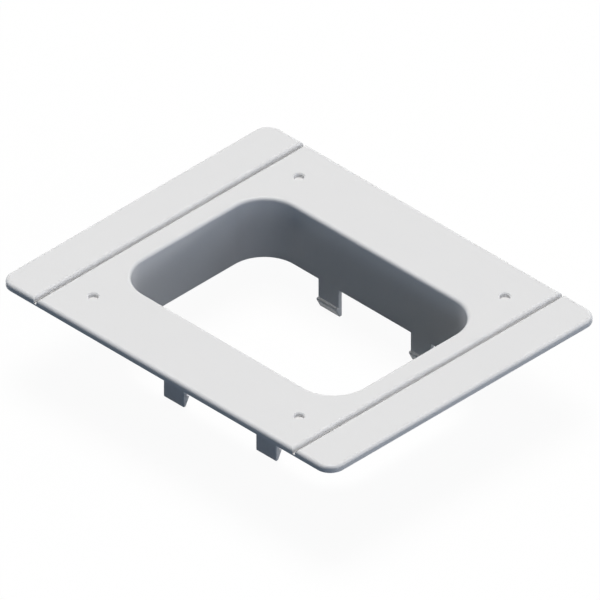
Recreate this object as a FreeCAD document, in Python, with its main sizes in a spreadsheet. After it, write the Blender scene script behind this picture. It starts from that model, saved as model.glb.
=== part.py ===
import FreeCAD, Part
import math
import os
import Sketcher
from FreeCAD import Placement, Rotation, Vector

# Snap-in cover frame, moulded in one piece: a flat plate with a large rounded opening, a deep
# collar below the opening, four barbed snap hooks under the collar, and a break-off strip at
# each end. X runs along the plate, Y across it and Z up. The origin is midway between the
# hooks, at the level of their tips, so the frame stands on the hooks at Z = 0.

NODE = "cover_frame"

# Driving dimensions in millimetres. Each one is a cell of the sheet, under the same name.
SIZES = {
    "plate_length": 160.2,
    "plate_width": 130.1,
    "plate_thickness": 2.6,
    "plate_corner_radius": 6.0,
    "edge_radius": 1.35,
    "opening_length": 106.1,
    "opening_width": 72.6,
    "opening_corner_radius": 14.0,
    "collar_depth": 24.6,
    "collar_wall": 2.0,
    "collar_root_radius": 1.0,
    "strip_width": 17.1,
    "break_groove_width": 1.2,
    "break_groove_web": 0.7,
    "recess_spacing_along": 99.3,
    "recess_spacing_across": 99.3,
    "recess_diameter": 3.6,
    "recess_floor_diameter": 3.2,
    "recess_depth": 1.4,
    "recess_rim_bevel": 0.4,
    "hook_spacing": 44.6,
    "hook_width": 9.9,
    "hook_drop": 11.8,
    "hook_tip_thickness": 1.2,
    "barb_reach": 0.9,
    "barb_face_height": 0.85,
    "barb_lead_in_height": 3.4,
    "hook_edge_radius": 0.5,
}

# Heights above the hook tips, as expressions of the sheet's cells.
COLLAR_LEVEL = "Sizes.hook_drop"
TOP_LEVEL = "Sizes.hook_drop + Sizes.collar_depth"
PLATE_LEVEL = "Sizes.hook_drop + Sizes.collar_depth - Sizes.plate_thickness"

# How far a cutting profile runs past the solid that it cuts, and how near counts as equal.
OVERRUN = 5.0
NEAR = 1e-4

# The largest share of a wall's height, or of half its width, that a rounded or bevelled edge may take.
ROUNDING_SHARE = 0.9

# The largest share of a hook's narrow flats that the rounding of its edges may take.
HOOK_ROUNDING_SHARE = 0.6

doc = FreeCAD.newDocument("cover_frame_model")


def make_sheet():
    table = doc.addObject("Spreadsheet::Sheet", "Sizes")
    for row, (name, size) in enumerate(SIZES.items(), start=1):
        table.set(f"A{row}", name)
        table.set(f"B{row}", str(size))
        table.setAlias(f"B{row}", name)
    doc.recompute()
    return table


sheet = make_sheet()


def evaluate(expression):
    return float(sheet.evalExpression(expression))


def make_body(name):
    return doc.addObject("PartDesign::Body", name)


def origin_plane(body, role):
    """The origin plane of a body that has a role, such as XY_Plane."""
    return next(feature for feature in body.Origin.OriginFeatures if feature.Role == role)


def make_sketch(body, name, plane, offset):
    """A sketch on one of the body's origin planes, moved along its normal by an expression."""
    sketch = body.newObject("Sketcher::SketchObject", name)
    sketch.AttachmentSupport = [(origin_plane(body, plane), "")]
    sketch.MapMode = "FlatFace"
    sketch.setExpression("AttachmentOffset.Base.z", offset)
    return sketch


def bind(sketch, constraint, expression):
    """Add a dimension to the sketch and tie it to an expression of the sheet."""
    index = sketch.addConstraint(constraint)
    sketch.setExpression(f"Constraints[{index}]", expression)


def draw_rounded_rectangle(sketch, length, width, radius):
    """A rounded rectangle centred on the sketch's origin: lines and corner arcs in turn."""
    half_x = evaluate(length) / 2
    half_y = evaluate(width) / 2
    bend = evaluate(radius)
    quarter_turn = math.pi / 2
    line_ends = [
        (Vector(bend - half_x, -half_y), Vector(half_x - bend, -half_y)),
        (Vector(half_x, bend - half_y), Vector(half_x, half_y - bend)),
        (Vector(half_x - bend, half_y), Vector(bend - half_x, half_y)),
        (Vector(-half_x, half_y - bend), Vector(-half_x, bend - half_y)),
    ]
    arc_centres = [
        Vector(half_x - bend, bend - half_y),
        Vector(half_x - bend, half_y - bend),
        Vector(bend - half_x, half_y - bend),
        Vector(bend - half_x, bend - half_y),
    ]
    lines = []
    arcs = []
    for corner in range(4):
        start, end = line_ends[corner]
        lines.append(sketch.addGeometry(Part.LineSegment(start, end), False))
        circle = Part.Circle(arc_centres[corner], Vector(0, 0, 1), bend)
        first_angle = (corner - 1) * quarter_turn
        arc = Part.ArcOfCircle(circle, first_angle, first_angle + quarter_turn)
        arcs.append(sketch.addGeometry(arc, False))
    for corner in range(4):
        following = lines[(corner + 1) % 4]
        sketch.addConstraint(Sketcher.Constraint("Tangent", lines[corner], 2, arcs[corner], 1))
        sketch.addConstraint(Sketcher.Constraint("Tangent", arcs[corner], 2, following, 1))
    for line in (lines[0], lines[2]):
        sketch.addConstraint(Sketcher.Constraint("Horizontal", line))
    for line in (lines[1], lines[3]):
        sketch.addConstraint(Sketcher.Constraint("Vertical", line))
    for arc in arcs[1:]:
        sketch.addConstraint(Sketcher.Constraint("Equal", arcs[0], arc))
    sketch.addConstraint(Sketcher.Constraint("Symmetric", arcs[0], 3, arcs[2], 3, -1, 1))
    bind(sketch, Sketcher.Constraint("Radius", arcs[0], bend), radius)
    bind(sketch, Sketcher.Constraint("DistanceX", lines[3], 1, lines[1], 1, 2 * half_x), length)
    bind(sketch, Sketcher.Constraint("DistanceY", lines[0], 1, lines[2], 1, 2 * half_y), width)


def draw_polygon(sketch, corners):
    """A closed polygon whose corners are pairs of expressions, measured from the origin."""
    places = [Vector(evaluate(along), evaluate(up)) for along, up in corners]
    lines = []
    for index, place in enumerate(places):
        following = places[(index + 1) % len(places)]
        lines.append(sketch.addGeometry(Part.LineSegment(place, following), False))
    for index, line in enumerate(lines):
        following = lines[(index + 1) % len(lines)]
        sketch.addConstraint(Sketcher.Constraint("Coincident", line, 2, following, 1))
    for line, place, (along, up) in zip(lines, places, corners):
        place_corner(sketch, line, "DistanceX", place.x, along, -2)
        place_corner(sketch, line, "DistanceY", place.y, up, -1)


def place_corner(sketch, line, kind, distance, expression, axis):
    """Hold the start of a line at a distance from the origin, on either side of it."""
    if abs(distance) < NEAR:
        sketch.addConstraint(Sketcher.Constraint("PointOnObject", line, 1, axis))
    elif distance > 0:
        bind(sketch, Sketcher.Constraint(kind, -1, 1, line, 1, distance), expression)
    else:
        bind(sketch, Sketcher.Constraint(kind, line, 1, -1, 1, -distance), f"-({expression})")


def pad(body, name, sketch, length):
    feature = body.newObject("PartDesign::Pad", name)
    feature.Profile = sketch
    feature.setExpression("Length", length)
    doc.recompute()
    return feature


def pocket(body, name, sketch, depth):
    """Cut the sketch's profile downwards, against the sketch's normal."""
    feature = body.newObject("PartDesign::Pocket", name)
    feature.Profile = sketch
    feature.setExpression("Length", depth)
    doc.recompute()
    return feature


def mirror(body, name, original, plane):
    feature = body.newObject("PartDesign::Mirrored", name)
    feature.Originals = [original]
    feature.MirrorPlane = (origin_plane(body, plane), [""])
    body.Tip = feature
    doc.recompute()
    return feature


def dress_edges(body, kind, name, chosen, size_name, size):
    """Add a fillet or chamfer on the edges of the body's last feature that the test chosen picks."""
    base = body.Tip
    names = [f"Edge{index}" for index, edge in enumerate(base.Shape.Edges, start=1) if chosen(edge)]
    feature = body.newObject(f"PartDesign::{kind}", name)
    feature.Base = (base, names)
    feature.setExpression(size_name, size)
    doc.recompute()
    return feature


def fillet(body, name, chosen, radius):
    return dress_edges(body, "Fillet", name, chosen, "Radius", radius)


def bevel(body, name, chosen, size):
    return dress_edges(body, "Chamfer", name, chosen, "Size", size)


def lies_at(edge, level):
    """Whether an edge lies flat at a height."""
    box = edge.BoundBox
    return abs(box.ZMin - level) < NEAR and abs(box.ZMax - level) < NEAR


def make_plate_and_collar():
    body = make_body("plate_and_collar")

    outline = make_sketch(body, "plate_outline", "XY_Plane", PLATE_LEVEL)
    draw_rounded_rectangle(outline, "Sizes.plate_length", "Sizes.plate_width", "Sizes.plate_corner_radius")
    pad(body, "plate", outline, "Sizes.plate_thickness")

    collar_outline = make_sketch(body, "collar_outline", "XY_Plane", COLLAR_LEVEL)
    draw_rounded_rectangle(
        collar_outline,
        "Sizes.opening_length + 2 * Sizes.collar_wall",
        "Sizes.opening_width + 2 * Sizes.collar_wall",
        "Sizes.opening_corner_radius + Sizes.collar_wall",
    )
    pad(body, "collar", collar_outline, "Sizes.collar_depth - Sizes.plate_thickness / 2")

    opening_outline = make_sketch(body, "opening_outline", "XY_Plane", TOP_LEVEL)
    draw_rounded_rectangle(
        opening_outline, "Sizes.opening_length", "Sizes.opening_width", "Sizes.opening_corner_radius"
    )
    pocket(body, "opening", opening_outline, f"Sizes.collar_depth + {OVERRUN}")

    groove_outline = make_sketch(body, "break_groove_outline", "XY_Plane", TOP_LEVEL)
    near_side = "Sizes.plate_length / 2 - Sizes.strip_width - Sizes.break_groove_width"
    far_side = "Sizes.plate_length / 2 - Sizes.strip_width"
    past_edge = f"Sizes.plate_width / 2 + {OVERRUN}"
    groove_corners = [
        (near_side, f"-({past_edge})"),
        (far_side, f"-({past_edge})"),
        (far_side, past_edge),
        (near_side, past_edge),
    ]
    draw_polygon(groove_outline, groove_corners)
    groove_depth = "Sizes.plate_thickness - Sizes.break_groove_web"
    groove = pocket(body, "break_groove", groove_outline, groove_depth)
    mirror(body, "second_break_groove", groove, "YZ_Plane")

    top = evaluate(TOP_LEVEL)
    half_land = f"({near_side} - Sizes.opening_length / 2) / 2"
    largest = f"{ROUNDING_SHARE} * min({groove_depth}; {half_land})"
    fillet(body, "top_edges", lambda edge: lies_at(edge, top), f"min(Sizes.edge_radius; {largest})")

    underside = evaluate(PLATE_LEVEL)
    reach_x = evaluate("Sizes.opening_length / 2 + Sizes.collar_wall") + NEAR
    reach_y = evaluate("Sizes.opening_width / 2 + Sizes.collar_wall") + NEAR

    def is_collar_root(edge):
        box = edge.BoundBox
        inside = max(abs(box.XMin), abs(box.XMax)) < reach_x and max(abs(box.YMin), abs(box.YMax)) < reach_y
        return lies_at(edge, underside) and inside

    fillet(body, "collar_root", is_collar_root, "Sizes.collar_root_radius")

    cut_recesses(body)
    return body


def cut_recesses(body):
    """Four blind screw positions: round recesses with a bevelled rim and a flat floor."""
    for across in ("", "-"):
        for along in ("", "-"):
            cone = body.newObject("PartDesign::SubtractiveCone", "screw_recess")
            cone.setExpression("Radius1", "Sizes.recess_floor_diameter / 2")
            cone.setExpression("Radius2", "Sizes.recess_diameter / 2")
            cone.setExpression("Height", "Sizes.recess_depth")
            cone.AttachmentSupport = [(origin_plane(body, "XY_Plane"), "")]
            cone.MapMode = "FlatFace"
            cone.setExpression("AttachmentOffset.Base.x", f"{along}Sizes.recess_spacing_along / 2")
            cone.setExpression("AttachmentOffset.Base.y", f"{across}Sizes.recess_spacing_across / 2")
            cone.setExpression("AttachmentOffset.Base.z", f"{TOP_LEVEL} - Sizes.recess_depth")
            doc.recompute()

    top = evaluate(TOP_LEVEL)
    rim_radius = evaluate("Sizes.recess_diameter / 2")

    def is_recess_rim(edge):
        is_circle = isinstance(edge.Curve, Part.Circle)
        return is_circle and lies_at(edge, top) and abs(edge.Curve.Radius - rim_radius) < NEAR

    largest = f"{ROUNDING_SHARE} * Sizes.recess_depth"
    bevel(body, "recess_rims", is_recess_rim, f"min(Sizes.recess_rim_bevel; {largest})")


def make_hook():
    """One snap hook, on the +X +Y side: a tongue that carries on the collar's wall downwards."""
    body = make_body("snap_hook")
    inner = "Sizes.opening_width / 2"
    outer = "Sizes.opening_width / 2 + Sizes.collar_wall"
    barb = "Sizes.opening_width / 2 - Sizes.barb_reach"
    tip = "Sizes.opening_width / 2 + Sizes.collar_wall - Sizes.hook_tip_thickness"
    nose_foot = "Sizes.barb_lead_in_height"
    ledge = "Sizes.barb_lead_in_height + Sizes.barb_face_height"
    profile = make_sketch(body, "hook_profile", "YZ_Plane", "(Sizes.hook_spacing - Sizes.hook_width) / 2")
    hook_corners = [
        (tip, "0"),
        (outer, "0"),
        (outer, COLLAR_LEVEL),
        (inner, COLLAR_LEVEL),
        (inner, ledge),
        (barb, ledge),
        (barb, nose_foot),
    ]
    draw_polygon(profile, hook_corners)
    pad(body, "tongue", profile, "Sizes.hook_width")

    collar_level = evaluate(COLLAR_LEVEL)
    ledge_level = evaluate(ledge)
    inner_side = evaluate(inner)

    def is_rounded(edge):
        box = edge.BoundBox
        on_inner_side = abs(box.YMin - inner_side) < NEAR and abs(box.YMax - inner_side) < NEAR
        is_ledge_corner = lies_at(edge, ledge_level) and on_inner_side
        return not lies_at(edge, collar_level) and not is_ledge_corner

    narrowest = "min(Sizes.barb_face_height; Sizes.barb_reach; Sizes.hook_tip_thickness)"
    largest = f"{HOOK_ROUNDING_SHARE} * {narrowest}"
    fillet(body, "hook_edges", is_rounded, f"min(Sizes.hook_edge_radius; {largest})")
    return body


def mirrored_copy(name, source, normal):
    copy = doc.addObject("Part::Mirroring", name)
    copy.Source = source
    copy.Base = Vector(0, 0, 0)
    copy.Normal = normal
    doc.recompute()
    return copy


def make_cover_frame():
    plate_and_collar = make_plate_and_collar()
    right_rear_hook = make_hook()
    left_rear_hook = mirrored_copy("left_rear_hook", right_rear_hook, Vector(1, 0, 0))
    right_front_hook = mirrored_copy("right_front_hook", right_rear_hook, Vector(0, 1, 0))
    left_front_hook = mirrored_copy("left_front_hook", left_rear_hook, Vector(0, 1, 0))
    frame = doc.addObject("Part::MultiFuse", NODE)
    frame.Shapes = [plate_and_collar, right_rear_hook, left_rear_hook, right_front_hook, left_front_hook]
    frame.Refine = True
    frame.Label = NODE
    frame.Placement = Placement(Vector(0, 0, 0), Rotation())
    doc.recompute()
    return frame


def check(parts):
    """Stop if any object of the document failed, or any finished part isn't one sound solid."""
    for item in doc.Objects:
        if "Invalid" in item.State or "Error" in item.State:
            raise RuntimeError(f"{item.Name} failed: {item.State}")
    for part in parts:
        if part.Shape.isNull() or not part.Shape.isValid() or len(part.Shape.Solids) != 1:
            raise RuntimeError(f"{part.Label} isn't one valid solid")


def main():
    parts = [make_cover_frame()]
    doc.recompute()
    check(parts)
    os.makedirs("parts", exist_ok=True)
    for part in parts:
        part.Shape.exportStep(f"parts/{part.Label}.step")
        box = part.Shape.optimalBoundingBox(False, False)
        print(f"{part.Label}: {part.Shape.Volume / 1000:.2f} cm3")
        print(f"X {box.XMin:.2f} to {box.XMax:.2f}, Y {box.YMin:.2f} to {box.YMax:.2f}")
        print(f"Z {box.ZMin:.2f} to {box.ZMax:.2f}")


main()
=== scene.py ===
import math

import bpy
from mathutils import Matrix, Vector

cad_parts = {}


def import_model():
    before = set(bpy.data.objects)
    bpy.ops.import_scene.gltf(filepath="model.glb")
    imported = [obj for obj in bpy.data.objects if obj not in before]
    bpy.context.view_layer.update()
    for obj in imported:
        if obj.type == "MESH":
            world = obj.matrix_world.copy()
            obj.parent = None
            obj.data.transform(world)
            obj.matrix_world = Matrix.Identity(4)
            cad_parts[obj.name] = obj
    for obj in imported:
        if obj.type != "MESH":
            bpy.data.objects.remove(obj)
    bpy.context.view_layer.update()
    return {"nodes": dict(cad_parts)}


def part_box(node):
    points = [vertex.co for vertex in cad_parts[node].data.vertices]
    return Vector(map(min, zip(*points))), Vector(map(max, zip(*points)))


# A moulded plastic cover frame on a pale studio floor. Lengths are in metres.

NODE = "cover_frame"
SLOT = "cover_plastic"
MM = 0.001

# The photograph's parallel view: its direction in degrees, its scale, and how far the middle of
# the picture lies from the middle of the plate's top, to the right and down.
VIEW_AZIMUTH = 45.0
VIEW_ELEVATION = 35.58
PICTURE_SIDE = 600
PIXELS_PER_MM = 2.93
MIDDLE_RIGHT = 0.96
MIDDLE_DOWN = 3.83
CAMERA_DISTANCE = 1.0

# The moulded plastic. Its colour drifts a little from place to place and is darker in the
# hollows of the grain, its gloss changes in wider patches, and the grain itself is a bump.
# Sizes are those of the noise's spots and heights those of the grain, in mm.
PLASTIC_LIGHT = (0.786, 0.786, 0.792, 1)
PLASTIC_DARK = (0.774, 0.775, 0.783, 1)
DRIFT_SIZE = 16.0
DRIFT_SHARE = 0.6
GLOSS_SIZE = 5.0
ROUGHNESS_LOW = 0.24
ROUGHNESS_HIGH = 0.265
SPECULAR_LEVEL = 0.15
GRAIN_SIZE = 0.45
GRAIN_HEIGHT = 0.012
GRAIN_STRENGTH = 0.3
GRAIN_DETAIL = 3
SOFT_DETAIL = 2
NOISE_LOW = 0.3
NOISE_HIGH = 0.7

# Wide soft lamps: azimuth, elevation and breadth in degrees, strength and colour. At strength 1 a
# lamp shows a surface that faces it in the surface's own colour.
LAMPS = {
    "overhead": (0.0, 90.0, 30.0, 0.185, (1.06, 1.01, 0.92)),
    "behind_left": (225.0, 70.0, 30.0, 0.7, (1.01, 1.0, 0.98)),
    "left": (270.0, 50.0, 30.0, 0.05, (0.8, 1.0, 1.3)),
    "left_low": (270.0, 3.0, 10.0, 0.12, (0.95, 1.0, 1.05)),
    "front_right": (45.0, 12.0, 30.0, 0.019, (0.2, 0.7, 1.6)),
    "right_high": (126.0, 22.0, 20.0, 0.077, (0.9, 1.0, 1.14)),
    "far_right": (90.0, 22.0, 20.0, 0.085, (0.96, 0.98, 1.08)),
    "far_right_low": (90.0, 3.0, 10.0, 0.069, (0.9, 1.0, 1.1)),
    "right_low": (135.0, 3.0, 10.0, 0.2, (0.98, 1.0, 1.04)),
    "front_low": (0.0, 3.0, 10.0, 0.068, (0.8, 0.97, 1.2)),
}

# The floor is white where the camera or a reflection sees it, with a faint shadow. It sends only
# a little cool light back up, so that the walls under the plate stay dark.
FLOOR_SIDE = 30.0
FLOOR_SHADOW_SHARE = 0.05
FLOOR_BOUNCE = (0.0, 0.02, 0.04, 1)


def new_nodes(material):
    material.use_nodes = True
    material.node_tree.nodes.clear()
    return material.node_tree.nodes, material.node_tree.links


def noise(nodes, links, place, size, detail):
    """A soft noise over the surface with spots of about this size in mm."""
    texture = nodes.new("ShaderNodeTexNoise")
    texture.inputs["Scale"].default_value = 1 / (size * MM)
    texture.inputs["Detail"].default_value = detail
    links.new(place.outputs["Object"], texture.inputs["Vector"])
    return texture.outputs["Fac"]


def spread(nodes, links, fac, low, high):
    """The noise's usual range, stretched to run from low to high."""
    ramp = nodes.new("ShaderNodeMapRange")
    ramp.inputs["From Min"].default_value = NOISE_LOW
    ramp.inputs["From Max"].default_value = NOISE_HIGH
    ramp.inputs["To Min"].default_value = low
    ramp.inputs["To Max"].default_value = high
    links.new(fac, ramp.inputs["Value"])
    return ramp.outputs["Result"]


def moulded_plastic():
    """Light grey satin plastic with a fine moulded grain."""
    material = bpy.data.materials.new(SLOT)
    nodes, links = new_nodes(material)
    output = nodes.new("ShaderNodeOutputMaterial")
    shader = nodes.new("ShaderNodeBsdfPrincipled")
    shader.inputs["Specular IOR Level"].default_value = SPECULAR_LEVEL
    links.new(shader.outputs["BSDF"], output.inputs["Surface"])
    place = nodes.new("ShaderNodeTexCoord")
    grain = noise(nodes, links, place, GRAIN_SIZE, GRAIN_DETAIL)
    drift = noise(nodes, links, place, DRIFT_SIZE, SOFT_DETAIL)
    gloss = noise(nodes, links, place, GLOSS_SIZE, SOFT_DETAIL)

    shade = nodes.new("ShaderNodeMath")
    shade.operation = "ADD"
    links.new(spread(nodes, links, drift, 0, DRIFT_SHARE), shade.inputs[0])
    links.new(spread(nodes, links, grain, 0, 1 - DRIFT_SHARE), shade.inputs[1])
    colour = nodes.new("ShaderNodeValToRGB")
    colour.color_ramp.elements[0].color = PLASTIC_DARK
    colour.color_ramp.elements[1].color = PLASTIC_LIGHT
    links.new(shade.outputs["Value"], colour.inputs["Fac"])
    links.new(colour.outputs["Color"], shader.inputs["Base Color"])

    links.new(spread(nodes, links, gloss, ROUGHNESS_LOW, ROUGHNESS_HIGH), shader.inputs["Roughness"])

    bump = nodes.new("ShaderNodeBump")
    bump.inputs["Strength"].default_value = GRAIN_STRENGTH
    bump.inputs["Distance"].default_value = GRAIN_HEIGHT * MM
    links.new(grain, bump.inputs["Height"])
    links.new(bump.outputs["Normal"], shader.inputs["Normal"])
    return material


def seen_directly(nodes, links):
    """1 for what the camera sees, itself or in a reflection or through glass, and 0 for light."""
    path = nodes.new("ShaderNodeLightPath")
    seen = path.outputs["Is Camera Ray"]
    for ray in ("Is Glossy Ray", "Is Transmission Ray"):
        either = nodes.new("ShaderNodeMath")
        either.operation = "MAXIMUM"
        links.new(seen, either.inputs[0])
        links.new(path.outputs[ray], either.inputs[1])
        seen = either.outputs["Value"]
    return seen


def pale_floor():
    """White with a faint shadow as it is seen, and dim and cool as it lights the object."""
    material = bpy.data.materials.new("pale_floor")
    nodes, links = new_nodes(material)
    output = nodes.new("ShaderNodeOutputMaterial")
    white = nodes.new("ShaderNodeEmission")
    lit = nodes.new("ShaderNodeBsdfDiffuse")
    lit.inputs["Color"].default_value = (1, 1, 1, 1)
    dim = nodes.new("ShaderNodeBsdfDiffuse")
    dim.inputs["Color"].default_value = FLOOR_BOUNCE
    shown = nodes.new("ShaderNodeMixShader")
    shown.inputs[0].default_value = FLOOR_SHADOW_SHARE
    links.new(white.outputs["Emission"], shown.inputs[1])
    links.new(lit.outputs["BSDF"], shown.inputs[2])
    choice = nodes.new("ShaderNodeMixShader")
    links.new(seen_directly(nodes, links), choice.inputs[0])
    links.new(dim.outputs["BSDF"], choice.inputs[1])
    links.new(shown.outputs["Shader"], choice.inputs[2])
    links.new(choice.outputs["Shader"], output.inputs["Surface"])
    return material


def make_floor():
    half = FLOOR_SIDE / 2
    corners = [(-half, -half, 0), (half, -half, 0), (half, half, 0), (-half, half, 0)]
    mesh = bpy.data.meshes.new("floor")
    mesh.from_pydata(corners, [], [(0, 1, 2, 3)])
    mesh.materials.append(pale_floor())
    floor = bpy.data.objects.new("floor", mesh)
    bpy.context.scene.collection.objects.link(floor)


def direction(azimuth, elevation):
    """The unit vector that points from the object to a place at this azimuth and elevation."""
    turn = math.radians(azimuth)
    rise = math.radians(elevation)
    return Vector((math.sin(turn) * math.cos(rise), -math.cos(turn) * math.cos(rise), math.sin(rise)))


def make_camera(top_centre):
    """The photograph's parallel camera, aimed by where the plate's top lies in the picture."""
    back = direction(VIEW_AZIMUTH, VIEW_ELEVATION)
    turn = (-back).to_track_quat("-Z", "Y")
    pixel = MM / PIXELS_PER_MM
    right = turn @ Vector((1, 0, 0))
    up = turn @ Vector((0, 1, 0))
    aim = top_centre + right * MIDDLE_RIGHT * pixel - up * MIDDLE_DOWN * pixel
    data = bpy.data.cameras.new("photo_view")
    data.type = "ORTHO"
    data.ortho_scale = PICTURE_SIDE * pixel
    camera = bpy.data.objects.new("photo_view", data)
    bpy.context.scene.collection.objects.link(camera)
    camera.rotation_mode = "QUATERNION"
    camera.rotation_quaternion = turn
    camera.location = aim + back * CAMERA_DISTANCE
    bpy.context.scene.camera = camera


def make_lamp(name, azimuth, elevation, breadth, strength, colour):
    """A far lamp. A sun's energy of pi shows a white surface that faces it as white."""
    data = bpy.data.lights.new(name, "SUN")
    data.angle = math.radians(breadth)
    data.energy = math.pi * strength
    data.color = colour
    lamp = bpy.data.objects.new(name, data)
    bpy.context.scene.collection.objects.link(lamp)
    towards = direction(azimuth, elevation)
    lamp.location = towards
    lamp.rotation_mode = "QUATERNION"
    lamp.rotation_quaternion = (-towards).to_track_quat("-Z", "Y")


def make_world():
    """White where the camera or a reflection sees past the floor, and no light of its own."""
    world = bpy.data.worlds.new("studio")
    bpy.context.scene.world = world
    world.use_nodes = True
    nodes, links = world.node_tree.nodes, world.node_tree.links
    background = nodes["Background"]
    background.inputs["Color"].default_value = (1, 1, 1, 1)
    links.new(seen_directly(nodes, links), background.inputs["Strength"])


def main():
    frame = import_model()
    node = frame["nodes"][NODE]
    node.data.materials.clear()
    node.data.materials.append(moulded_plastic())
    low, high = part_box(NODE)
    top_centre = Vector(((low.x + high.x) / 2, (low.y + high.y) / 2, high.z))

    make_floor()
    make_camera(top_centre)
    make_world()
    for name, settings in LAMPS.items():
        make_lamp(name, *settings)
    bpy.context.scene.view_settings.view_transform = "Standard"


main()
